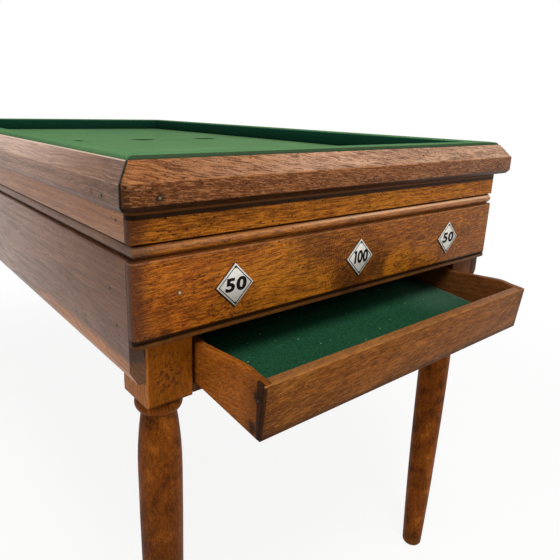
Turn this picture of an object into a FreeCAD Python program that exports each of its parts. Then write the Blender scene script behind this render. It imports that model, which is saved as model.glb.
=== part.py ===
import FreeCAD, Part
import math
import os

import Sketcher

# Bar billiards table in millimetres.
# Origin on the floor under the middle of the cabinet, +X right, +Y to the back, +Z up.
# The drawer is drawn part open and slides on runners that rise towards the back.

os.makedirs("parts", exist_ok=True)
doc = FreeCAD.newDocument("bar_billiards_table")
sheet = doc.addObject("Spreadsheet::Sheet", "Sizes")

sizes = [
    ("table_width", "750", "over the side aprons"),
    ("table_length", "1310", "over the front panel and back apron"),
    ("table_height", "910", "floor to the top edge of the rails"),
    ("side_thick", "20", "boards on the left and right"),
    ("panel_thick", "13", "boards at the front and back, which lap over the side boards"),
    ("mitre_reach", "70", "half size of the wedge cut off each mitred end"),
    ("rail_height", "52", "underside to top edge"),
    ("rail_overhang", "17", "past the apron face"),
    ("rail_bevel_run", "17", "bevel seen from above"),
    ("rail_bevel_drop", "22", "bevel seen from the side"),
    ("rail_chamfer_run", "5", "lower edge, seen from below"),
    ("rail_chamfer_rise", "6", "lower edge, seen from the side"),
    ("rail_lip", "2", "flat strip beside the cushion"),
    ("rail_inset", "20", "inner edge of the rails behind the apron face"),
    ("fascia_height", "39", ""),
    ("fascia_chamfer", "1.2", "lower outer edge"),
    ("bead_height", "19", ""),
    ("bead_recess", "7", "flat of the bead strip behind the fascia face"),
    ("bead_quirk", "1.5", "flat above and below the round"),
    ("bead_radius", "9.4", "round of the bead"),
    ("panel_depth", "102.5", "front panel, top to the foot behind its lip"),
    ("panel_strip_height", "5.6", "lip along the lower edge of the front panel"),
    ("panel_strip_thick", "5", "lip, front to back"),
    ("panel_strip_drop", "2.1", "lip below the foot of the panel"),
    ("panel_groove_height", "6.1", "groove between the lip and the face of the panel"),
    ("panel_groove_depth", "3.5", ""),
    ("panel_groove_fall", "1.4", "deepest line of the groove below the edge of the lip"),
    ("apron_depth", "156", "side and back aprons, top to bottom"),
    ("apron_chamfer_run", "10", "lower outer edge, seen from below"),
    ("apron_chamfer_rise", "19", "lower outer edge, seen from the side"),
    ("apron_ease", "2", "upper outer edge under the bead"),
    ("post_side", "65", "square head of the leg"),
    ("post_drop", "37", "post below the side aprons"),
    ("ring_height", "21", "collar below the post"),
    ("ring_seat_radius", "26", "where the collar meets the post"),
    ("ring_round_radius", "12.8", "round of the collar"),
    ("neck_radius", "22.7", "below the collar"),
    ("belly_radius", "30", "widest turning"),
    ("belly_drop", "92.5", "collar to the widest turning"),
    ("swell_radius", "590", "curve from neck to belly"),
    ("taper_radius", "11900", "curve from belly to foot"),
    ("foot_radius", "20.5", ""),
    ("foot_round", "8", "rounded edge at the floor"),
    ("bed_drop", "26", "rail top to the playing surface"),
    ("bed_thick", "22", ""),
    ("bed_gap", "0.5", "round the edge of the bed"),
    ("cloth_thick", "2", "bed cloth"),
    ("hole_diameter", "59", ""),
    ("hole_inset", "195", "side apron face to the outer holes"),
    ("hole_distance", "710", "front panel face to the row of holes"),
    ("cushion_width", "43", "rail lip to nose"),
    ("cushion_back_height", "29.5", "beside the rail lip"),
    ("cushion_nose_height", "29", "top of the inner face"),
    ("cushion_face_height", "13", "upright part of the inner face"),
    ("cushion_undercut", "5", "foot behind the nose"),
    ("cushion_crown_radius", "120", "rounded top"),
    ("corner_block_side", "45", ""),
    ("ledger_side", "20", "strip under each long edge of the bed"),
    ("bearer_width", "45", "bar across under the bed"),
    ("bearer_height", "55", ""),
    ("bearer_distance", "325", "middle of the table to each bearer"),
    ("ramp_slope", "7", "degrees"),
    ("ramp_thick", "9", ""),
    ("ramp_past_holes", "90", "row of holes to the back of the ramp"),
    ("ramp_gap", "110", "front panel face to the front of the ramp"),
    ("ramp_front_rise", "14.5", "foot of the front panel to the front edge of the ramp"),
    ("guide_thick", "10", "boards beside and behind the ramp"),
    ("guide_gap", "3", "guides inside the drawer sides"),
    ("guide_gap_above", "8", "back of the guides below the bed"),
    ("cross_board_thick", "20", ""),
    ("front_cross_gap", "12", "drawer depth to the front cross board"),
    ("back_cross_inset", "25", "back of the ramp to the back cross board"),
    ("back_cross_height", "85", ""),
    ("drawer_slope", "6", "degrees"),
    ("drawer_reach", "119", "foot of the drawer front before the panel face"),
    ("drawer_drop", "89.5", "foot of the front panel to the foot of the drawer front"),
    ("drawer_side_gap", "4", "between drawer and post"),
    ("drawer_depth", "340", "front to back"),
    ("drawer_front_height", "72.5", ""),
    ("drawer_front_thick", "14", ""),
    ("drawer_lip", "3", "front board over the ends of the sides"),
    ("drawer_side_thick", "12", ""),
    ("drawer_side_height", "57", "low part of the sides"),
    ("drawer_ramp_start", "130", "drawer face to where the sides begin to rise"),
    ("hump_back", "55", "drawer face to the back of the hump"),
    ("hump_back_height", "71.3", ""),
    ("hump_front", "26", "drawer face to the front of the hump"),
    ("hump_front_height", "72.6", ""),
    ("hump_radius", "90", "rounded top of the hump"),
    ("drawer_back_thick", "12", ""),
    ("drawer_bottom_thick", "4", ""),
    ("drawer_bottom_height", "9", "underside of the sides to the underside of the bottom"),
    ("baize_thick", "2", "lining of the drawer"),
    ("stop_distance", "232", "drawer face to the stop blocks"),
    ("stop_length", "15", ""),
    ("stop_height", "24", ""),
    ("runner_width", "28", ""),
    ("runner_height", "11", ""),
    ("runner_gap", "0.3", "sliding clearance under the drawer"),
    ("plate_diagonal", "57", ""),
    ("plate_thick", "1.5", ""),
    ("plate_inset", "140", "end of the front panel to the outer plates"),
    ("plate_drop", "50", "top of the front panel to plate centres"),
    ("plate_nail_inset", "4.6", "plate corner to nail"),
    ("plate_nail_length", "12", ""),
    ("nail_head_radius", "1.8", ""),
    ("nail_head_thick", "0.8", ""),
    ("nail_shank_radius", "0.8", ""),
    ("rail_nail_length", "18", ""),
    ("rail_nail_rise", "13.5", "underside of the rails to their nails"),
    ("rail_nail_inset", "28", "apron corner to the end nails"),
    ("apron_nail_length", "34", ""),
    ("upper_nail_drop", "45", "top of the aprons to the upper nails"),
    ("lower_nail_drop", "87", "top of the aprons to the lower nails"),
    ("upper_nail_inset", "60", "cabinet corner to the upper nails"),
    ("lower_nail_inset", "45", "cabinet corner to the lower nails"),
    ("fascia_nail_rise", "23", "underside of the fascias to their nails"),
    ("fascia_nail_inset", "33", "cabinet corner to the nails in the side fascias"),
    ("drawer_nail_length", "20", ""),
    ("drawer_nail_low", "20", "foot of the drawer to the lower nails"),
    ("drawer_nail_high", "50", "foot of the drawer to the upper nails"),
]
for row, (alias, number, note) in enumerate(sizes, start=1):
    sheet.set(f"A{row}", alias)
    sheet.set(f"B{row}", number)
    sheet.setAlias(f"B{row}", alias)
    sheet.set(f"C{row}", note)
doc.recompute()

# Levels and planes that several pieces share, as expressions on the sheet.
front_face = "(-Sizes.table_length / 2)"
inside_width = "(Sizes.table_width - 2 * Sizes.side_thick)"
inside_length = "(Sizes.table_length - 2 * Sizes.panel_thick)"
outer_hole = "(Sizes.table_width / 2 - Sizes.hole_inset)"
outer_plate = "(Sizes.table_width / 2 - Sizes.plate_inset)"
rail_foot = "(Sizes.table_height - Sizes.rail_height)"
fascia_foot = f"({rail_foot} - Sizes.fascia_height)"
apron_top = f"({fascia_foot} - Sizes.bead_height)"
panel_foot = f"({apron_top} - Sizes.panel_depth)"
post_foot = f"({apron_top} - Sizes.apron_depth - Sizes.post_drop)"
play_height = "(Sizes.table_height - Sizes.bed_drop)"
bed_top = f"({play_height} - Sizes.cloth_thick)"
bed_foot = f"({bed_top} - Sizes.bed_thick)"
post_inside = f"({inside_width} / 2 - Sizes.post_side)"
drawer_half = f"({post_inside} - Sizes.drawer_side_gap)"
drawer_inner = f"({drawer_half} - Sizes.drawer_side_thick)"
drawer_slope = "Sizes.drawer_slope"
bottom_top = "(Sizes.drawer_bottom_height + Sizes.drawer_bottom_thick)"
drawer_foot = f"({panel_foot} - Sizes.drawer_drop)"
hole_row = f"({front_face} + Sizes.hole_distance)"
ramp_half = f"({drawer_inner} - Sizes.guide_gap - Sizes.guide_thick)"
ramp_front = f"({front_face} + Sizes.ramp_gap)"
ramp_front_height = f"({panel_foot} + Sizes.ramp_front_rise)"
ramp_run = "(Sizes.hole_distance + Sizes.ramp_past_holes - Sizes.ramp_gap)"
ramp_back = f"({ramp_front} + {ramp_run} + Sizes.ramp_thick * sin(Sizes.ramp_slope))"
pieces = []


def measure(expression):
    return float(sheet.evalExpression(expression))


def ramp_foot(along):
    rise = f"({along} - {ramp_front}) * tan(Sizes.ramp_slope)"
    return f"({ramp_front_height} + {rise} - Sizes.ramp_thick / cos(Sizes.ramp_slope))"


def runner_top(along):
    rise = f"({along} - {front_face} + Sizes.drawer_reach) * tan(Sizes.drawer_slope)"
    return f"({drawer_foot} + {rise} - Sizes.runner_gap / cos(Sizes.drawer_slope))"


def new_body(label):
    body = doc.addObject("PartDesign::Body", label)
    body.Label = label
    pieces.append(body)
    return body


def arc_between(first, second, radius, turn):
    # The shorter arc from first to second, with its centre on the side named by turn.
    chord = second - first
    side = FreeCAD.Vector(-chord.y, chord.x, 0).normalize()
    if turn == "right":
        side = -side
    height = math.sqrt(radius ** 2 - (chord.Length / 2) ** 2)
    centre = first + chord / 2 + side * height
    angles = [math.atan2(end.y - centre.y, end.x - centre.x) for end in (first, second)]
    if turn == "right":
        angles.reverse()
    circle = Part.Circle(centre, FreeCAD.Vector(0, 0, 1), radius)
    return Part.ArcOfCircle(circle, angles[0], angles[1])


def bind(sketch, constraint, expression):
    sketch.setExpression(f"Constraints[{sketch.addConstraint(constraint)}]", expression)


def draw_loop(sketch, corners):
    # Each corner is (across, up), or (across, up, radius, turn) when an arc leaves it.
    points = [FreeCAD.Vector(measure(c[0]), measure(c[1]), 0) for c in corners]
    edges = []
    for number, corner in enumerate(corners):
        first = points[number]
        second = points[(number + 1) % len(points)]
        if len(corner) == 2:
            edge = sketch.addGeometry(Part.LineSegment(first, second))
            edges.append((edge, 1, 2))
            continue
        arc = arc_between(first, second, measure(corner[2]), corner[3])
        edge = sketch.addGeometry(arc)
        ends = (1, 2) if corner[3] == "left" else (2, 1)
        edges.append((edge, *ends))
    for number, (edge, _, finish) in enumerate(edges):
        following, start, _ = edges[(number + 1) % len(edges)]
        sketch.addConstraint(Sketcher.Constraint("Coincident", edge, finish, following, start))
    for (edge, start, _), point, corner in zip(edges, points, corners):
        across = Sketcher.Constraint("DistanceX", -1, 1, edge, start, point.x)
        bind(sketch, across, corner[0])
        upward = Sketcher.Constraint("DistanceY", -1, 1, edge, start, point.y)
        bind(sketch, upward, corner[1])
        if len(corner) > 2:
            bind(sketch, Sketcher.Constraint("Radius", edge, measure(corner[2])), corner[2])


def draw_circle(sketch, across, up, diameter):
    centre = FreeCAD.Vector(measure(across), measure(up), 0)
    circle = Part.Circle(centre, FreeCAD.Vector(0, 0, 1), measure(diameter) / 2)
    edge = sketch.addGeometry(circle)
    bind(sketch, Sketcher.Constraint("DistanceX", -1, 1, edge, 3, centre.x), across)
    bind(sketch, Sketcher.Constraint("DistanceY", -1, 1, edge, 3, centre.y), up)
    bind(sketch, Sketcher.Constraint("Diameter", edge, measure(diameter)), diameter)


def new_sketch(body, plane, name):
    sketch = body.newObject("Sketcher::SketchObject", f"{body.Label}_{name}")
    support = [feature for feature in body.Origin.OriginFeatures if feature.Role == plane]
    sketch.AttachmentSupport = (support[0], [""])
    sketch.MapMode = "FlatFace"
    return sketch


def pad(body, sketch, length, symmetric=True):
    feature = body.newObject("PartDesign::Pad", f"{sketch.Name}_pad")
    feature.Profile = sketch
    feature.setExpression("Length", length)
    feature.SideType = "Symmetric" if symmetric else "One side"
    sketch.Visibility = False
    return feature


def place(piece, across, along, up):
    piece.setExpression("Placement.Base.x", across)
    piece.setExpression("Placement.Base.y", along)
    piece.setExpression("Placement.Base.z", up)


def lean(piece, slope):
    piece.Placement.Rotation = FreeCAD.Rotation(FreeCAD.Vector(1, 0, 0), measure(slope))
    piece.setExpression("Placement.Rotation.Angle", f"{slope} * 1 deg")


def place_in_drawer(piece, across, along, up):
    # Position in the drawer's own frame: from the middle of the foot of its front face.
    level = f"({along}) * cos({drawer_slope}) - ({up}) * sin({drawer_slope})"
    rise = f"({along}) * sin({drawer_slope}) + ({up}) * cos({drawer_slope})"
    place(piece, across, f"{front_face} - Sizes.drawer_reach + {level}", f"{drawer_foot} + {rise}")


def block(label, length, width, height):
    piece = doc.addObject("Part::Box", label)
    piece.Label = label
    piece.setExpression("Length", length)
    piece.setExpression("Width", width)
    piece.setExpression("Height", height)
    pieces.append(piece)
    return piece


def slab(label, corners, thick):
    # An outline in the upright plane along the table, thickened evenly to left and right.
    body = new_body(label)
    sketch = new_sketch(body, "YZ_Plane", "outline")
    draw_loop(sketch, corners)
    pad(body, sketch, thick)
    return body


# The four sides of the cabinet: turn about the upright axis, run of the side, place of its face.
sides = {
    "front": (0, "Sizes.table_width", "0", front_face),
    "right": (90, "Sizes.table_length", "Sizes.table_width / 2", "0"),
    "back": (180, "Sizes.table_width", "0", "Sizes.table_length / 2"),
    "left": (270, "Sizes.table_length", "-Sizes.table_width / 2", "0"),
}


def face_on(piece, side):
    turn, _, across, along = sides[side]
    piece.Placement.Rotation = FreeCAD.Rotation(FreeCAD.Vector(0, 0, 1), turn)
    place(piece, across, along, "0")


def board(label, side, corners, length):
    # The section is drawn with 0 at the apron face and plus inwards.
    body = new_body(f"{label}_{side}")
    section = new_sketch(body, "YZ_Plane", "section")
    draw_loop(section, corners)
    pad(body, section, length)
    face_on(body, side)
    return body


def lapped_board(label, side, corners):
    # Front and back boards run full width; side boards fit between them.
    run = sides[side][1]
    lap = "0" if side in ("front", "back") else "2 * Sizes.panel_thick"
    return board(label, side, corners, f"{run} - {lap}")


def mitred_board(label, side, corners):
    run = sides[side][1]
    reach = "Sizes.mitre_reach"
    body = board(label, side, corners, f"{run} + 2 * {reach}")
    wedges = new_sketch(body, "XY_Plane", "mitres")
    for sign in ("", "-"):
        outer = f"{sign}({run} / 2 + {reach})"
        inner = f"{sign}({run} / 2 - {reach})"
        draw_loop(wedges, [(outer, f"-{reach}"), (outer, reach), (inner, reach)])
    cut = body.newObject("PartDesign::Pocket", f"{body.Label}_mitre_cut")
    cut.Profile = wedges
    cut.Type = "ThroughAll"
    cut.Reversed = True
    wedges.Visibility = False
    return body


rail_face = "-Sizes.rail_overhang"
rail_lip = "Sizes.rail_bevel_run - Sizes.rail_overhang + Sizes.rail_lip"
rail_section = [
    ("Sizes.rail_inset", rail_foot),
    ("Sizes.rail_chamfer_run - Sizes.rail_overhang", rail_foot),
    (rail_face, f"{rail_foot} + Sizes.rail_chamfer_rise"),
    (rail_face, "Sizes.table_height - Sizes.rail_bevel_drop"),
    ("Sizes.rail_bevel_run - Sizes.rail_overhang", "Sizes.table_height"),
    (rail_lip, "Sizes.table_height"),
    (rail_lip, play_height),
    ("Sizes.rail_inset", play_height),
]
cushion_nose = f"{rail_lip} + Sizes.cushion_width"
nose_top = f"{play_height} + Sizes.cushion_nose_height"
cushion_section = [
    (rail_lip, play_height),
    (rail_lip, f"{play_height} + Sizes.cushion_back_height", "Sizes.cushion_crown_radius", "right"),
    (cushion_nose, nose_top),
    (cushion_nose, f"{nose_top} - Sizes.cushion_face_height"),
    (f"{cushion_nose} - Sizes.cushion_undercut", play_height),
]
def fascia_section(thick):
    return [
        (thick, fascia_foot),
        ("Sizes.fascia_chamfer", fascia_foot),
        ("0", f"{fascia_foot} + Sizes.fascia_chamfer"),
        ("0", rail_foot),
        (thick, rail_foot),
    ]


def bead_section(thick):
    recess = "Sizes.bead_recess"
    return [
        (thick, apron_top),
        (recess, apron_top),
        (recess, f"{apron_top} + Sizes.bead_quirk", "Sizes.bead_radius", "right"),
        (recess, f"{fascia_foot} - Sizes.bead_quirk"),
        (recess, fascia_foot),
        (thick, fascia_foot),
    ]


def apron_section(thick):
    foot = f"({apron_top} - Sizes.apron_depth)"
    return [
        (thick, foot),
        ("Sizes.apron_chamfer_run", foot),
        ("0", f"{foot} + Sizes.apron_chamfer_rise"),
        ("0", f"{apron_top} - Sizes.apron_ease"),
        ("Sizes.apron_ease", apron_top),
        (thick, apron_top),
    ]


def panel_section(thick):
    lip_foot = f"({panel_foot} - Sizes.panel_strip_drop)"
    lip_top = f"({lip_foot} + Sizes.panel_strip_height)"
    return [
        (thick, panel_foot),
        ("Sizes.panel_strip_thick", panel_foot),
        ("Sizes.panel_strip_thick", lip_foot),
        ("0", lip_foot),
        ("0", lip_top),
        ("Sizes.panel_groove_depth", f"{lip_top} - Sizes.panel_groove_fall"),
        ("0", f"{lip_top} + Sizes.panel_groove_height"),
        ("0", f"{apron_top} - Sizes.apron_ease"),
        ("Sizes.apron_ease", apron_top),
        (thick, apron_top),
    ]


for side in sides:
    thick = "Sizes.panel_thick" if side in ("front", "back") else "Sizes.side_thick"
    mitred_board("rail", side, rail_section)
    mitred_board("cushion", side, cushion_section)
    lapped_board("fascia", side, fascia_section(thick))
    mitred_board("bead", side, bead_section(thick))
    if side == "front":
        lapped_board("apron", side, panel_section(thick))
    else:
        lapped_board("apron", side, apron_section(thick))

# Legs: a square post with the ring and the tapering shaft turned below it.
corners_of_table = [
    ("front_left", "-", "-"),
    ("front_right", "", "-"),
    ("back_left", "-", ""),
    ("back_right", "", ""),
]
leg_across = f"({inside_width} / 2 - Sizes.post_side / 2)"
leg_along = f"({inside_length} / 2 - Sizes.post_side / 2)"
post_half = "Sizes.post_side / 2"
ring_foot = f"({post_foot} - Sizes.ring_height)"
turning = [
    ("0", "0"),
    ("Sizes.foot_radius - Sizes.foot_round", "0", "Sizes.foot_round", "left"),
    ("Sizes.foot_radius", "Sizes.foot_round", "Sizes.taper_radius", "left"),
    ("Sizes.belly_radius", f"{ring_foot} - Sizes.belly_drop", "Sizes.swell_radius", "left"),
    ("Sizes.neck_radius", ring_foot),
    ("Sizes.ring_seat_radius", ring_foot, "Sizes.ring_round_radius", "left"),
    ("Sizes.ring_seat_radius", post_foot),
    ("0", post_foot),
]
for corner, across_sign, along_sign in corners_of_table:
    leg = new_body(f"leg_{corner}")
    post = new_sketch(leg, "XZ_Plane", "post")
    draw_loop(post, [
        (f"-{post_half}", post_foot),
        (post_half, post_foot),
        (post_half, apron_top),
        (f"-{post_half}", apron_top),
    ])
    pad(leg, post, "Sizes.post_side")
    shaft = new_sketch(leg, "XZ_Plane", "turning")
    draw_loop(shaft, turning)
    turned = leg.newObject("PartDesign::Revolution", f"leg_{corner}_turned")
    turned.Profile = shaft
    turned.ReferenceAxis = (shaft, ["V_Axis"])
    turned.Angle = 360
    shaft.Visibility = False
    place(leg, f"{across_sign}{leg_across}", f"{along_sign}{leg_along}", "0")

    stub = block(f"corner_block_{corner}", "Sizes.corner_block_side", "Sizes.corner_block_side",
                 f"{rail_foot} - {apron_top}")
    across = f"-{inside_width} / 2" if across_sign else f"{inside_width} / 2 - Sizes.corner_block_side"
    along = f"-{inside_length} / 2" if along_sign else f"{inside_length} / 2 - Sizes.corner_block_side"
    place(stub, across, along, apron_top)

# Playing bed and what carries it.
bed_half_width = "(Sizes.table_width / 2 - Sizes.rail_inset - Sizes.bed_gap)"
bed_half_length = "(Sizes.table_length / 2 - Sizes.rail_inset - Sizes.bed_gap)"
bed_layers = [
    ("bed_board", bed_foot, "Sizes.bed_thick"),
    ("bed_cloth", bed_top, "Sizes.cloth_thick"),
]
for label, foot, thick in bed_layers:
    layer = new_body(label)
    plan = new_sketch(layer, "XY_Plane", "plan")
    draw_loop(plan, [
        (f"-{bed_half_width}", f"-{bed_half_length}"),
        (bed_half_width, f"-{bed_half_length}"),
        (bed_half_width, bed_half_length),
        (f"-{bed_half_width}", bed_half_length),
    ])
    for across in (f"-{outer_hole}", "0", outer_hole):
        draw_circle(plan, across, hole_row, "Sizes.hole_diameter")
    pad(layer, plan, thick, symmetric=False)
    place(layer, "0", "0", foot)

ledger_length = f"{inside_length} - 2 * Sizes.corner_block_side"
for side, across in (("left", f"-{inside_width} / 2"), ("right", f"{inside_width} / 2 - Sizes.ledger_side")):
    ledger = block(f"bed_ledger_{side}", "Sizes.ledger_side", ledger_length, "Sizes.ledger_side")
    place(ledger, across, f"-({ledger_length}) / 2", f"{bed_foot} - Sizes.ledger_side")

bearer_length = f"({inside_width} - 2 * Sizes.ledger_side)"
for end, sign in (("front", "-"), ("back", "")):
    bearer = block(f"bed_bearer_{end}", bearer_length, "Sizes.bearer_width", "Sizes.bearer_height")
    place(bearer, f"-{bearer_length} / 2", f"{sign}Sizes.bearer_distance - Sizes.bearer_width / 2",
          f"{bed_foot} - Sizes.bearer_height")

# Ball return: a sloping board between two guides, closed at the back, carried by two cross boards.
ramp = block("ball_ramp", f"2 * {ramp_half}", f"{ramp_run} / cos(Sizes.ramp_slope)", "Sizes.ramp_thick")
lean(ramp, "Sizes.ramp_slope")
place(ramp, f"-{ramp_half}", f"{ramp_front} + Sizes.ramp_thick * sin(Sizes.ramp_slope)",
      f"{ramp_front_height} - Sizes.ramp_thick * cos(Sizes.ramp_slope)")

panel_back = f"({front_face} + Sizes.panel_thick)"
guide_top = f"({bed_foot} - Sizes.guide_gap_above)"
guide_outline = [
    (panel_back, ramp_foot(ramp_front)),
    (ramp_front, ramp_foot(ramp_front)),
    (ramp_back, ramp_foot(ramp_back)),
    (ramp_back, guide_top),
    (panel_back, f"{guide_top} - ({ramp_back} - {panel_back}) * tan(Sizes.ramp_slope)"),
]
guide_across = f"({ramp_half} + Sizes.guide_thick / 2)"
for side, sign in (("left", "-"), ("right", "")):
    guide = slab(f"ramp_guide_{side}", guide_outline, "Sizes.guide_thick")
    place(guide, f"{sign}{guide_across}", "0", "0")

back_board_width = f"(2 * {ramp_half} + 2 * Sizes.guide_thick)"
back_board = block("ramp_back_board", back_board_width, "Sizes.guide_thick",
                   f"{guide_top} - {ramp_foot(ramp_back)}")
place(back_board, f"-{back_board_width} / 2", ramp_back, ramp_foot(ramp_back))

cross_face = f"({front_face} + Sizes.drawer_depth + Sizes.front_cross_gap)"
runner_end = f"({runner_top(cross_face)} - Sizes.runner_height)"
back_cross_face = f"({ramp_front} + {ramp_run} - Sizes.back_cross_inset)"
back_cross_foot = f"({ramp_foot(back_cross_face)} - Sizes.back_cross_height)"
for end, near, foot in (("front", cross_face, runner_end), ("back", back_cross_face, back_cross_foot)):
    far = f"({near} + Sizes.cross_board_thick)"
    slab(f"cross_board_{end}", [(near, foot), (far, foot), (far, ramp_foot(far)), (near, ramp_foot(near))],
         inside_width)

runner_outline = [
    (panel_back, f"{runner_top(panel_back)} - Sizes.runner_height"),
    (cross_face, runner_end),
    (cross_face, runner_top(cross_face)),
    (panel_back, runner_top(panel_back)),
]
for side, sign in (("left", "-"), ("right", "")):
    runner = slab(f"drawer_runner_{side}", runner_outline, "Sizes.runner_width")
    place(runner, f"{sign}({post_inside} - Sizes.runner_width / 2)", "0", "0")

# Drawer, drawn level in its own frame and then leaned to the slope of its runners.
drawer_front = new_body("drawer_front")
plan = new_sketch(drawer_front, "XY_Plane", "plan")
draw_loop(plan, [
    (f"-{drawer_half}", "0"),
    (drawer_half, "0"),
    (drawer_half, "Sizes.drawer_lip"),
    (drawer_inner, "Sizes.drawer_lip"),
    (drawer_inner, "Sizes.drawer_front_thick"),
    (f"-{drawer_inner}", "Sizes.drawer_front_thick"),
    (f"-{drawer_inner}", "Sizes.drawer_lip"),
    (f"-{drawer_half}", "Sizes.drawer_lip"),
])
pad(drawer_front, plan, "Sizes.drawer_front_height", symmetric=False)
place_in_drawer(drawer_front, "0", "0", "0")
lean(drawer_front, drawer_slope)

side_outline = [
    ("Sizes.drawer_lip", "0"),
    ("Sizes.drawer_depth", "0"),
    ("Sizes.drawer_depth", "Sizes.drawer_side_height"),
    ("Sizes.drawer_ramp_start", "Sizes.drawer_side_height"),
    ("Sizes.hump_back", "Sizes.hump_back_height", "Sizes.hump_radius", "left"),
    ("Sizes.hump_front", "Sizes.hump_front_height"),
    ("Sizes.drawer_lip", "Sizes.drawer_front_height"),
]
for side, sign in (("left", "-"), ("right", "")):
    drawer_side = slab(f"drawer_side_{side}", side_outline, "Sizes.drawer_side_thick")
    side_across = f"{sign}({drawer_half} - Sizes.drawer_side_thick / 2)"
    place_in_drawer(drawer_side, side_across, "0", "0")
    lean(drawer_side, drawer_slope)
    stop = block(f"drawer_stop_{side}", "Sizes.drawer_side_thick", "Sizes.stop_length", "Sizes.stop_height")
    place_in_drawer(stop, f"{side_across} - Sizes.drawer_side_thick / 2", "Sizes.stop_distance",
                    "Sizes.drawer_side_height")
    lean(stop, drawer_slope)

drawer_back = block("drawer_back", f"2 * {drawer_inner}", "Sizes.drawer_back_thick",
                    "Sizes.drawer_side_height")
back_face = "(Sizes.drawer_depth - Sizes.drawer_back_thick)"
place_in_drawer(drawer_back, f"-{drawer_inner}", back_face, "0")
lean(drawer_back, drawer_slope)
bottom_depth = f"({back_face} - Sizes.drawer_front_thick)"
drawer_bottom = block("drawer_bottom", f"2 * {drawer_inner}", bottom_depth, "Sizes.drawer_bottom_thick")
place_in_drawer(drawer_bottom, f"-{drawer_inner}", "Sizes.drawer_front_thick", "Sizes.drawer_bottom_height")
lean(drawer_bottom, drawer_slope)
drawer_baize = block("drawer_baize", f"2 * {drawer_inner}", bottom_depth, "Sizes.baize_thick")
place_in_drawer(drawer_baize, f"-{drawer_inner}", "Sizes.drawer_front_thick", bottom_top)
lean(drawer_baize, drawer_slope)

# Number plates: squares stood on one corner on the front panel.
plate_face = f"({front_face} - Sizes.plate_thick)"
plate_side = "Sizes.plate_diagonal / sqrt(2)"
plate_middle = f"({apron_top} - Sizes.plate_drop)"
quarter_turn = 90
for name, across in (("left", f"-{outer_plate}"), ("middle", "0"), ("right", outer_plate)):
    plate = block(f"plate_{name}", plate_side, "Sizes.plate_thick", plate_side)
    plate.Placement.Rotation = FreeCAD.Rotation(FreeCAD.Vector(0, 1, 0), -quarter_turn / 2)
    place(plate, across, plate_face, f"{plate_middle} - Sizes.plate_diagonal / 2")


def nail(length, turn):
    # The underside of the head is at the nail's origin and its point goes into the wood.
    head = doc.addObject("Part::Cylinder", "nail_head")
    head.setExpression("Radius", "Sizes.nail_head_radius")
    head.setExpression("Height", "Sizes.nail_head_thick")
    shank = doc.addObject("Part::Cylinder", "nail_shank")
    shank.setExpression("Radius", "Sizes.nail_shank_radius")
    shank.setExpression("Height", length)
    shank.setExpression("Placement.Base.z", f"-({length})")
    whole = doc.addObject("Part::Fuse", "nail")
    whole.Base = head
    whole.Tool = shank
    whole.Placement.Rotation = turn
    return whole


def nail_group(label, nails):
    group = doc.addObject("Part::Compound", label)
    group.Label = label
    group.Links = nails
    pieces.append(group)


def facing(side):
    upright = FreeCAD.Rotation(FreeCAD.Vector(1, 0, 0), quarter_turn)
    return FreeCAD.Rotation(FreeCAD.Vector(0, 0, 1), sides[side][0]).multiply(upright)


def nail_in(side, shift, standing, up, length):
    # Shift runs along the side from its middle; standing is how far the face is before the apron.
    pin = nail(length, facing(side))
    _, _, across, along = sides[side]
    if side in ("front", "back"):
        outward = "-" if side == "front" else "+"
        place(pin, shift, f"{along} {outward} {standing}", up)
    else:
        outward = "-" if side == "left" else "+"
        place(pin, f"{across} {outward} {standing}", shift, up)
    return pin


rail_nails = []
apron_nails = []
for side, (_, run, _, _) in sides.items():
    rail_shift = f"({run} / 2 - Sizes.rail_nail_inset)"
    for shift in (f"-{rail_shift}", "0", rail_shift):
        rail_nails.append(nail_in(side, shift, "Sizes.rail_overhang",
                                  f"{rail_foot} + Sizes.rail_nail_rise", "Sizes.rail_nail_length"))
    levels = ("upper",) if side == "front" else ("upper", "lower")
    for level in levels:
        for sign in ("-", ""):
            shift = f"{sign}({run} / 2 - Sizes.{level}_nail_inset)"
            height = f"{apron_top} - Sizes.{level}_nail_drop"
            apron_nails.append(nail_in(side, shift, "0", height, "Sizes.apron_nail_length"))
    if side in ("left", "right"):
        for sign in ("-", ""):
            shift = f"{sign}({run} / 2 - Sizes.fascia_nail_inset)"
            height = f"{fascia_foot} + Sizes.fascia_nail_rise"
            apron_nails.append(nail_in(side, shift, "0", height, "Sizes.apron_nail_length"))
nail_group("rail_nails", rail_nails)
nail_group("apron_nails", apron_nails)

plate_nails = []
plate_nail_rise = "(Sizes.plate_diagonal / 2 - Sizes.plate_nail_inset)"
for across in (f"-{outer_plate}", "0", outer_plate):
    for sign in ("-", "+"):
        plate_nails.append(nail_in("front", across, "Sizes.plate_thick",
                                   f"{plate_middle} {sign} {plate_nail_rise}", "Sizes.plate_nail_length"))
nail_group("plate_nails", plate_nails)

drawer_nails = []
nail_along = "(Sizes.drawer_lip + Sizes.drawer_front_thick) / 2"
for side, sign in (("left", "-"), ("right", "")):
    for level in ("low", "high"):
        pin = nail("Sizes.drawer_nail_length", facing(side))
        place_in_drawer(pin, f"{sign}{drawer_half}", nail_along, f"Sizes.drawer_nail_{level}")
        drawer_nails.append(pin)
nail_group("drawer_nails", drawer_nails)

doc.recompute()
for item in doc.Objects:
    if "Invalid" in item.State or "Error" in item.State:
        raise RuntimeError(f"{item.Label} did not compute: {item.State}")
for piece in pieces:
    if piece.Shape.isNull() or not piece.Shape.isValid():
        raise RuntimeError(f"{piece.Label} has no valid shape")
    piece.Shape.exportStep(f"parts/{piece.Label}.step")
print(f"{len(pieces)} pieces written")
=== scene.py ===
import math
import bpy
from mathutils import Matrix, Vector


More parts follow.
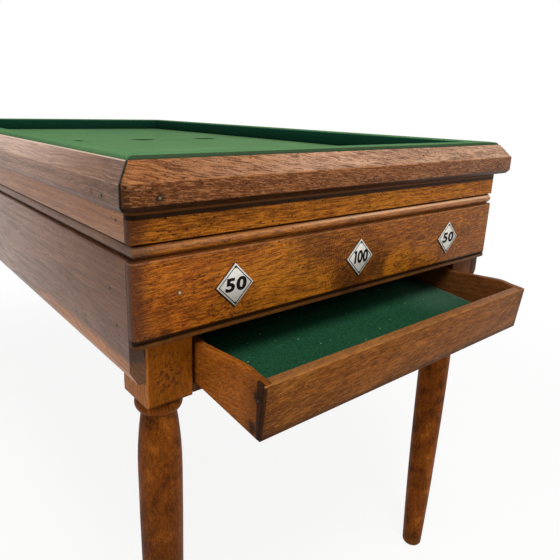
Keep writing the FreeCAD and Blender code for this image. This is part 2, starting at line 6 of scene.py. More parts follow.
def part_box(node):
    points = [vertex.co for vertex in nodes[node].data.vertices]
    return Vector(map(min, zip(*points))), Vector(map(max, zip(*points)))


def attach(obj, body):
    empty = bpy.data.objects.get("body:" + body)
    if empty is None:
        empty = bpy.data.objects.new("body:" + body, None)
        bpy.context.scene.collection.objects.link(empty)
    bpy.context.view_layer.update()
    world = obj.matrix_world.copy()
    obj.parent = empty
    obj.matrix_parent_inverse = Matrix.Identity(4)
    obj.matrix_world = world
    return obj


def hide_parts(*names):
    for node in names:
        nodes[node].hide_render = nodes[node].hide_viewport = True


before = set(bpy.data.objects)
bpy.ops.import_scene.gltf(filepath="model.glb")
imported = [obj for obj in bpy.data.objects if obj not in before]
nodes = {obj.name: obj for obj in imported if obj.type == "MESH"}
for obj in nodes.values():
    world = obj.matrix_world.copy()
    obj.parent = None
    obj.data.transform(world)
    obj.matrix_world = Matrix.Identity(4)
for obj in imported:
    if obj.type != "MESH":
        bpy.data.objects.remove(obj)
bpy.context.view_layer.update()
scene = bpy.context.scene
print("frame loaded:", len(nodes), "nodes")


# A shader socket that takes part in plain arithmetic.
class Wire:
    def __init__(self, shader, socket):
        self.shader = shader
        self.socket = socket

    def maths(self, operation, first, second=0.0):
        return self.shader.add("ShaderNodeMath", {"operation": operation}, {0: first, 1: second})

    def __add__(self, other):
        return self.maths("ADD", self, other)

    def __radd__(self, other):
        return self.maths("ADD", other, self)

    def __sub__(self, other):
        return self.maths("SUBTRACT", self, other)

    def __rsub__(self, other):
        return self.maths("SUBTRACT", other, self)

    def __mul__(self, other):
        return self.maths("MULTIPLY", self, other)

    def __rmul__(self, other):
        return self.maths("MULTIPLY", other, self)

    def __truediv__(self, other):
        return self.maths("DIVIDE", self, other)

    def __rtruediv__(self, other):
        return self.maths("DIVIDE", other, self)

    def __pow__(self, other):
        return self.maths("POWER", self, other)

    def __rpow__(self, other):
        return self.maths("POWER", other, self)

    def __abs__(self):
        return self.maths("ABSOLUTE", self)

    def fraction(self):
        return self.maths("FRACT", self)

    def highest(self, other):
        return self.maths("MAXIMUM", self, other)

    def step(self, start, end):
        # 0 at start, 1 at end, smooth between; start may be the larger of the two
        return self.shader.add("ShaderNodeMapRange", {"interpolation_type": "SMOOTHSTEP"},
                               {"Value": self, "From Min": start, "From Max": end})

    def beside(self, output):
        # another output of the same node
        return Wire(self.shader, self.socket.node.outputs[output])


class Shader:
    def __init__(self, name, store=bpy.data.materials):
        self.owner = store.new(name)  # a material, or a world
        self.owner.use_nodes = True
        self.tree = self.owner.node_tree
        self.tree.nodes.clear()

    def add(self, kind, settings=None, sockets=None, out=0):
        node = self.tree.nodes.new(kind)
        for key, value in (settings or {}).items():
            setattr(node, key, value)
        for key, value in (sockets or {}).items():
            if isinstance(value, Wire):
                self.tree.links.new(value.socket, node.inputs[key])
            else:
                node.inputs[key].default_value = value
        return Wire(self, node.outputs[out]) if node.outputs else None

    def here(self):
        return self.add("ShaderNodeTexCoord", out="Object")

    def split(self, vector):
        first = self.add("ShaderNodeSeparateXYZ", None, {"Vector": vector})
        return {axis: first.beside(axis.upper()) for axis in "xyz"}

    def join(self, x, y, z):
        return self.add("ShaderNodeCombineXYZ", None, {"X": x, "Y": y, "Z": z})

    def noise(self, where, scale=1.0, detail=2.0, rough=0.5):
        return self.add("ShaderNodeTexNoise", {"noise_dimensions": "3D"},
                        {"Vector": where, "Scale": scale, "Detail": detail, "Roughness": rough})

    def cells(self, where, scale=1.0):
        # distance to the nearest of many scattered points, and a chance that each point keeps
        distance = self.add("ShaderNodeTexVoronoi", {"feature": "F1"},
                            {"Vector": where, "Scale": scale}, "Distance")
        return distance, distance.beside("Color")

    def apart(self, where, point):
        # how far each place is from a point
        return self.add("ShaderNodeVectorMath", {"operation": "DISTANCE"}, {0: where, 1: point}, "Value")

    def blend(self, factor, first, second):
        return self.add("ShaderNodeMix", {"data_type": "RGBA", "blend_type": "MIX"},
                        {0: factor, 6: first, 7: second}, 2)

    def zoned(self, zones, colour, at, ragged):
        # tints boxes of space, each side a ramp along one axis with a ragged edge
        for ramps, much, shade in zones:
            mask = 1.0
            for axis, start, end in ramps:
                mask = at[axis].step(start, end) * mask
            colour = self.blend((mask + ragged * mask * (1.0 - mask)) * much, colour, tone(*shade))
        return colour

    def seen(self):
        # 1 for the rays that look at the backdrop, straight on, in gloss or through glass
        camera = self.add("ShaderNodeLightPath", out="Is Camera Ray")
        return camera.highest(camera.beside("Is Glossy Ray")).highest(camera.beside("Is Transmission Ray"))

    def finish(self, colour, rough, height, depth, fixed):
        bump = self.add("ShaderNodeBump", None, {"Height": height, "Distance": depth})
        surface = self.add("ShaderNodeBsdfPrincipled", None,
                           {"Base Color": colour, "Roughness": rough, "Normal": bump, **fixed})
        self.add("ShaderNodeOutputMaterial", None, {"Surface": surface})
        return self.owner


def tone(red, green, blue):
    # a colour as a screen shows it, from 0 to 255, made linear
    parts = [value / 255 for value in (red, green, blue)]
    return tuple(v / 12.92 if v < 0.04045 else ((v + 0.055) / 1.055) ** 2.4 for v in parts) + (1.0,)


# Oak as it was cut: year rings about a leaning heart, fibre, open pores, stain, dirt and wear, with painted
# shade and painted highlights.
# Pairs of scales are along the grain and across it; noises are scale, detail and roughness.
woodLook = {
    "base": (150, 92, 40), "dark": (88, 47, 16), "pale": (196, 150, 104), "pore": (60, 32, 13),
    "grimeAndShadeTone": (22, 13, 8), "rough": 0.42, "shine": 0.12, "shineTone": (1.0, 0.8, 0.6), "shift": 0.0,
    "heart": (0.02, 0.07), "lean": (0.02, 0.03), "ring": 0.0065, "rings": 0.3, "swirl": 0.32, "knots": [],
    "bend": (2.6, 8.0), "wander": 0.02, "curl": (38.0, 2.0), "curlSize": 0.004, "slope": 0.0,
    "tick": (110.0, 270.0), "pores": 0.95, "thick": 0.0, "crowd": (14.0, 40.0),
    "dot": (260.0, 520.0), "dots": 0.5,
    "streaks": (12.0, 190.0), "streak": 0.3,
    "fibres": (40.0, 560.0), "fibre": 0.6, "fibrePale": 0.6, "fibreDark": 0.95,
    "patch": (9.0, 30.0), "patchy": 0.5, "gold": [], "tints": [],
    "grit": (520.0, 2.0, 0.7), "gritPale": 0.25, "gritDark": 0.45,
    "rub": (60.0, 4.0, 0.65), "worn": [], "wear": 0.5,
    "zones": [], "mitre": [], "grimeAndShade": [], "spots": [], "diamonds": [],
    "burl": [], "burlSpecks": (170.0, 3.0, 0.6),
    "relief": {"fibre": -0.6, "pore": -0.8, "dots": -0.3, "rub": 0.12, "grit": -0.2}, "depth": 0.0006,
}
grainOrder = {"x": "xzy", "y": "yzx", "z": "zxy"}  # along the grain, across it, into the board


def soiledAndShaded(s, look, colour, here, at, rub):
    # wear and dirt, with painted shade and painted highlights, that lie over the grain
    pale, grimeAndShade, pore = (tone(*look[key]) for key in ("pale", "grimeAndShadeTone", "pore"))
    colour = s.zoned(look["zones"], colour, at, (rub - 0.5) * 3.0)  # painted shade on ends, edges and recesses, painted highlights, and pale handled edges
    for axis, level, reach in look["worn"]:  # pale lines where hands and years have rubbed
        mask = (abs(at[axis] - level) / reach).step(1.0, 0.25) * rub.step(0.36, 0.58)
        colour = s.blend(mask * look["wear"], colour, pale)
    for x, y, reach, much in look["mitre"]:  # dirt in the joint of two rails
        apart = (at["x"] - x) - (at["y"] - y)
        mask = (abs(apart) / reach + (rub - 0.5) * 0.5).step(1.0, 0.4)
        colour = s.blend(mask * much, colour, grimeAndShade)
    for axis, level, reach, much in look["grimeAndShade"]:  # dark dirt along edges and ends, and painted shade under the rails and in the quirks
        mask = (abs(at[axis] - level) / reach + (rub - 0.5) * 0.8).step(1.0, 0.3)
        colour = s.blend(mask * much, colour, grimeAndShade)
    for point, size, much in look["spots"]:  # stains about nails and bruises, and painted shade about the bed's holes
        mask = (s.apart(here, point) / size + (rub - 0.5) * 1.1).step(1.0, 0.2)
        colour = s.blend(mask * much, colour, grimeAndShade)
    for x, z, reach, much in look["diamonds"]:  # painted shadow of each plate, shifted down and to the left
        mask = ((abs(at["x"] - x) + abs(at["z"] - z)) / reach).step(1.05, 0.98)
        colour = s.blend(mask * much, colour, grimeAndShade)
    for point, size, much in look["burl"]:  # dark specks crowded about a burl
        mask = (s.apart(here, point) / size).step(1.0, 0.4) * s.noise(here, *look["burlSpecks"]).step(0.5, 0.6)
        colour = s.blend(mask * much, colour, pore)
    return colour


def wood(name, along, changes):
    look = {**woodLook, **changes}
    s = Shader(name)
    here = s.here()
    at = s.split(here)
    run, wide, deep = (at[axis] for axis in grainOrder[along])
    shift = look["shift"]
    long, cross = look["bend"]
    bend = (s.noise(s.join(run * long + shift, wide * cross + shift, deep * cross)) - 0.5) * look["wander"]
    curl = bend + (s.noise(here, *look["curl"]) - 0.5) * look["curlSize"] + run * look["slope"]

    def grain(scale):
        # a place in the board's own grain, drawn out along the run
        return s.join(run * scale[0] + shift, (wide + curl) * scale[1] + shift, (deep + curl) * scale[1])

    # year rings, and the porous part of each year
    across = wide - run * look["lean"][0] - look["heart"][0] + bend
    below = deep - run * look["lean"][1] - look["heart"][1] + bend
    outwards = (across * across + below * below) ** 0.5
    swirl = look["rings"]
    for point, size, lift in look["knots"]:  # rings close about a knot and show more there
        near = (s.apart(here, point) / size).step(1.0, 0.0)
        outwards = outwards + near * lift
        swirl = near * look["swirl"] + swirl
    fibre = s.noise(grain(look["fibres"]), 1.0, 2.0, 0.7)
    streak = s.noise(grain(look["streaks"]), 1.0, 3.0, 0.65)
    ring = (outwards / look["ring"] + streak * 0.5).fraction()
    spring = ring.step(0.0, 0.2) * ring.step(0.85, 0.25)

    # open pores, few and dark, then closed ones, many and faint
    crowd = s.noise(grain(look["crowd"]))
    cell, chance = s.cells(grain(look["tick"]))
    width = chance * 0.2 + spring * 0.06 + crowd.step(0.35, 0.65) * 0.1 + (look["thick"] - 0.05)
    pore = (width - cell).step(-0.02, 0.05)
    speck, often = s.cells(grain(look["dot"]))
    dots = (often * 0.34 - 0.05 - speck).step(-0.04, 0.06)

    patch = s.noise(grain(look["patch"]), 1.0, 4.0, 0.62)
    rub = s.noise(here, *look["rub"])
    grit = s.noise(here, *look["grit"])
    light, dark, pale, poreTone = (tone(*look[key]) for key in ("base", "dark", "pale", "pore"))
    colour = s.blend(patch.step(0.48, 0.7) * look["patchy"], light, dark)
    colour = s.blend(patch.step(0.47, 0.28) * look["patchy"], colour, pale)
    for point, size, much in look["gold"]:  # brighter figure in the board
        mask = (s.apart(here, point) / size + (patch - 0.5) * 1.6).step(1.0, 0.3)
        colour = s.blend(mask * much, colour, pale)
    colour = s.zoned(look["tints"], colour, at, (patch - 0.5) * 3.0)  # stain, painted highlight and painted shade that the grain shows through
    colour = s.blend(spring * swirl + streak.step(0.42, 0.68) * look["streak"], colour, dark)
    colour = s.blend(fibre.step(0.47, 0.38) * (look["fibre"] * look["fibrePale"]), colour, pale)
    colour = s.blend(fibre.step(0.5, 0.6) * (look["fibre"] * look["fibreDark"]), colour, dark)
    colour = s.blend(grit.step(0.5, 0.7) * look["gritDark"], colour, dark)
    colour = s.blend(grit.step(0.46, 0.3) * look["gritPale"], colour, pale)
    colour = s.blend(dots * look["dots"], colour, poreTone)
    colour = s.blend(pore * look["pores"], colour, poreTone)
    colour = soiledAndShaded(s, look, colour, here, at, rub)
    rough = patch * 0.2 + pore * 0.2 + (look["rough"] - 0.1)
    lift = look["relief"]
    height = (fibre * lift["fibre"] + pore * lift["pore"] + dots * lift["dots"]
              + rub * lift["rub"] + grit * lift["grit"])
    return s.finish(colour, rough, height, look["depth"],
                    {"Specular IOR Level": look["shine"], "Specular Tint": (*look["shineTone"], 1.0)})


# Napped billiard cloth: fine felted fibre over a faint weave, with a little dust.
clothLook = {"base": (70, 120, 74), "light": (98, 148, 98), "dark": (44, 88, 54), "fleck": (150, 168, 140),
             "nap": (900.0, 3.0, 0.7), "plain": 0.55, "cloud": (7.0, 3.0, 0.6), "clouded": 0.35,
             "tuft": (420.0, 2.0, 0.7), "felt": 0.35, "fuzz": 0.005, "thread": 1500.0, "slack": 300.0,
             "dust": 75.0, "flecks": 0.0, "sheen": 0.06, "sheenRough": 0.5, "depth": 0.0004, "zones": []}


def wool(name, changes):
    look = {**clothLook, **changes}
    s = Shader(name)
    here = s.here()
    at = s.split(here)
    base, light, dark, fleck = (tone(*look[key]) for key in ("base", "light", "dark", "fleck"))
    thread, slack = look["thread"], look["slack"]
    nap = s.noise(here, *look["nap"])
    cloud = s.noise(here, *look["cloud"])
    tuft = s.noise(here, *look["tuft"])
    warp = s.noise(s.join(at["x"] * thread, at["y"] * slack, at["z"] * slack), 1.0, 1.0)
    weft = s.noise(s.join(at["x"] * slack, at["y"] * thread, at["z"] * slack), 1.0, 1.0)
    colour = s.blend(nap.step(0.3, 0.7), dark, light)
    colour = s.blend(look["plain"], colour, base)
    colour = s.blend(cloud.step(0.45, 0.75) * look["clouded"], colour, light)
    colour = s.blend(tuft.step(0.5, 0.68) * look["felt"], colour, light)
    colour = s.blend(tuft.step(0.48, 0.32) * look["felt"], colour, dark)
    fuzz = (tuft - 0.5) * look["fuzz"]
    colour = s.zoned(look["zones"], colour, {axis: place + fuzz for axis, place in at.items()}, 0.0)
    speck, chance = s.cells(here, look["dust"])
    dust = (speck + (nap - 0.5) * 0.1).step(0.11, 0.06) * chance.step(0.55, 0.75)
    colour = s.blend(dust * look["flecks"], colour, fleck)
    height = nap * 0.6 + (warp + weft) * 0.3
    return s.finish(colour, nap * 0.1 + 0.85, height, look["depth"],
                    {"Sheen Weight": look["sheen"], "Sheen Roughness": look["sheenRough"], "Sheen Tint": light,
                     "Specular IOR Level": 0.0})


metalLook = {"base": (196, 194, 188), "dark": (128, 124, 116), "rust": (92, 62, 40), "rusty": 0.15,
             "rough": 0.42, "metallic": 0.55, "brush": (120.0, 800.0, 1600.0), "spot": (260.0, 4.0, 0.7),
             "cloud": (45.0, 3.0, 0.6), "depth": 0.00015, "zones": []}


def metal(name, changes):
    look = {**metalLook, **changes}
    s = Shader(name)
    here = s.here()
    at = s.split(here)
    brush = s.noise(s.join(*(at[axis] * scale for axis, scale in zip("xyz", look["brush"]))))
    spot = s.noise(here, *look["spot"])
    cloud = s.noise(here, *look["cloud"])
    dull = brush.step(0.35, 0.7) * 0.35 + cloud.step(0.5, 0.8) * 0.4
    colour = s.blend(dull, tone(*look["base"]), tone(*look["dark"]))
    colour = s.blend(spot.step(0.62, 0.75) * look["rusty"], colour, tone(*look["rust"]))
    colour = s.zoned(look["zones"], colour, at, 0.0)
    rough = spot * 0.2 + brush * 0.1 + (look["rough"] - 0.15)
    return s.finish(colour, rough, spot * 0.5 + brush * 0.3, look["depth"], {"Metallic": look["metallic"]})


def paint(name, look):
    # worn print on the plates
    s = Shader(name)
    rubbed = s.noise(s.here(), *look["rub"])
    colour = s.blend(rubbed.step(0.62, 0.8) * look["wear"], tone(*look["base"]), tone(*look["worn"]))
    return s.finish(colour, rubbed * 0.2 + 0.5, rubbed, look["depth"], {"Specular IOR Level": look["shine"]})


def deselect():
    if bpy.context.object and bpy.context.object.mode != "OBJECT":
        bpy.ops.object.mode_set(mode="OBJECT")
    bpy.ops.object.select_all(action="DESELECT")


def pick(piece):
    deselect()
    piece.select_set(True)
    bpy.context.view_layer.objects.active = piece


surfacing = {"weld": 0.000002, "flat": math.radians(0.4), "smooth": math.radians(35)}


def merged(node, name):
    # a welded copy of a solid, with its flat faces whole again
    piece = bpy.data.objects.new(name, nodes[node].data.copy())
    scene.collection.objects.link(piece)
    piece.data.materials.clear()
    pick(piece)
    bpy.ops.object.mode_set(mode="EDIT")
    bpy.ops.mesh.select_all(action="SELECT")
    bpy.ops.mesh.customdata_custom_splitnormals_clear()
    bpy.ops.mesh.remove_doubles(threshold=surfacing["weld"])
    bpy.ops.mesh.dissolve_limited(angle_limit=surfacing["flat"])
    bpy.ops.object.mode_set(mode="OBJECT")
    return piece


def apply(piece, kind, **settings):
    pick(piece)
    modifier = piece.modifiers.new(kind.lower(), kind)
    for key, value in settings.items():
        setattr(modifier, key, value)
    bpy.ops.object.modifier_apply(modifier=modifier.name)


roundBlock = {"skin": (0.00001, 0.00001, -0.01), "segments": 6}  # skin keeps it off the board's own faces


def roundEnds(piece, width):
    # the upright front corners of a front board, rubbed rounder than its long edges
    low, high = Vector(piece.bound_box[0]), Vector(piece.bound_box[6])
    skin = Vector(roundBlock["skin"])
    size = high - low - skin * 2
    deselect()
    bpy.ops.mesh.primitive_cube_add(size=1.0)
    block = bpy.context.object
    block.scale = (size.x, size.y * 2, size.z)
    block.location = ((low.x + high.x) / 2, high.y - skin.y, (low.z + high.z) / 2)
    bpy.ops.object.transform_apply(location=True, rotation=True, scale=True)
    bpy.ops.object.mode_set(mode="EDIT")
    bpy.ops.mesh.select_mode(type="EDGE")
    bpy.ops.mesh.select_all(action="DESELECT")
    bpy.ops.object.mode_set(mode="OBJECT")
    for edge in block.data.edges:
        first, last = (block.data.vertices[index].co for index in edge.vertices)
        edge.select = max(first.y, last.y) < high.y - width and abs(first.z - last.z) > width
    bpy.ops.object.mode_set(mode="EDIT")
    bpy.ops.mesh.bevel(offset=width, segments=roundBlock["segments"], affect="EDGES")
    bpy.ops.object.mode_set(mode="OBJECT")
    apply(piece, "BOOLEAN", operation="INTERSECT", object=block, solver="EXACT")
    bpy.data.objects.remove(block)


def softened(node, name, width, segments=3, angle=28.0, ends=None):
    piece = merged(node, name)
    if ends:
        roundEnds(piece, ends)
    apply(piece, "BEVEL", width=width, segments=segments, limit_method="ANGLE",
          angle_limit=math.radians(angle), use_clamp_overlap=True, miter_outer="MITER_ARC")
    pick(piece)
    bpy.ops.object.shade_smooth_by_angle(angle=surfacing["smooth"])
    return piece


def settle(piece, body, node=None):
    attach(piece, body)
    if node:
        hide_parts(node)


# Finishes of oak that several boards share.
# Grey oak of the left side: weathered grey, and partly painted glare of the light that grazes that side.
greyOak = {"base": (122, 80, 54), "dark": (76, 47, 32), "pale": (164, 120, 90), "pore": (50, 31, 22),
           "rough": 0.36, "shine": 0.3, "shineTone": (1.0, 0.92, 0.84), "patchy": 0.5, "pores": 0.4,
           "streak": 0.4, "streaks": (4.0, 150.0), "fibre": 0.45, "fibres": (12.0, 520.0)}
honeyOak = {"base": (162, 93, 25), "dark": (84, 42, 11), "pale": (206, 130, 36), "shine": 0.08,
            "fibre": 0.75, "thick": 0.03, "dots": 0.75}
redOak = {"base": (148, 92, 50), "dark": (70, 36, 16), "pale": (194, 142, 98), "shine": 0.08,
          "streak": 0.4, "fibre": 0.8, "fibres": (40.0, 600.0), "pores": 0.9, "thick": 0.045, "dots": 0.95,
          "patchy": 0.5, "slope": 0.12}
brownOak = {"base": (130, 78, 30), "dark": (72, 40, 14), "pale": (170, 110, 50), "shine": 0.06,
            "pores": 0.5, "fibres": (45.0, 520.0)}

# Zones are ramps along axes, a strength and a colour.
turnedEnd = ([("x", -0.371, -0.3746)], 0.8, (84, 56, 44))  # the board's end, seen past its rounded corner
shadedEnd = ([("x", -0.346, -0.369)], 0.72, (66, 36, 26))
farEnd = ([("x", 0.364, 0.3735)], 0.75, (42, 23, 14))
# the rails' upright face, darker than the bevel: partly a darker stain, partly painted shade
railFace = ([("z", 0.8895, 0.8875)], 0.5, (88, 47, 20))
# painted shade on the rails' lower chamfer, which faces down
railFoot = ([("z", 0.8648, 0.8632)], 0.85, (28, 14, 6))
underRail = ([("z", 0.8448, 0.8474)], 0.95, (20, 11, 6))  # painted shadow under the rails
frontLeft = (-0.375, -0.655, 0.003, 0.98)  # the open joint of the front and left rails

plates = {"left": "50", "middle": "100", "right": "50"}
# painted shadow about each plate, shifted left and down of the plate
plateShade = {"off": (-0.0012, -0.0006), "reach": 0.0298, "much": 0.85}
plateShadow = []
for where in plates:
    low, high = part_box(f"plate_{where}")
    plateShadow.append(((low.x + high.x) / 2 + plateShade["off"][0], (low.z + high.z) / 2 + plateShade["off"][1],
                      plateShade["reach"], plateShade["much"]))

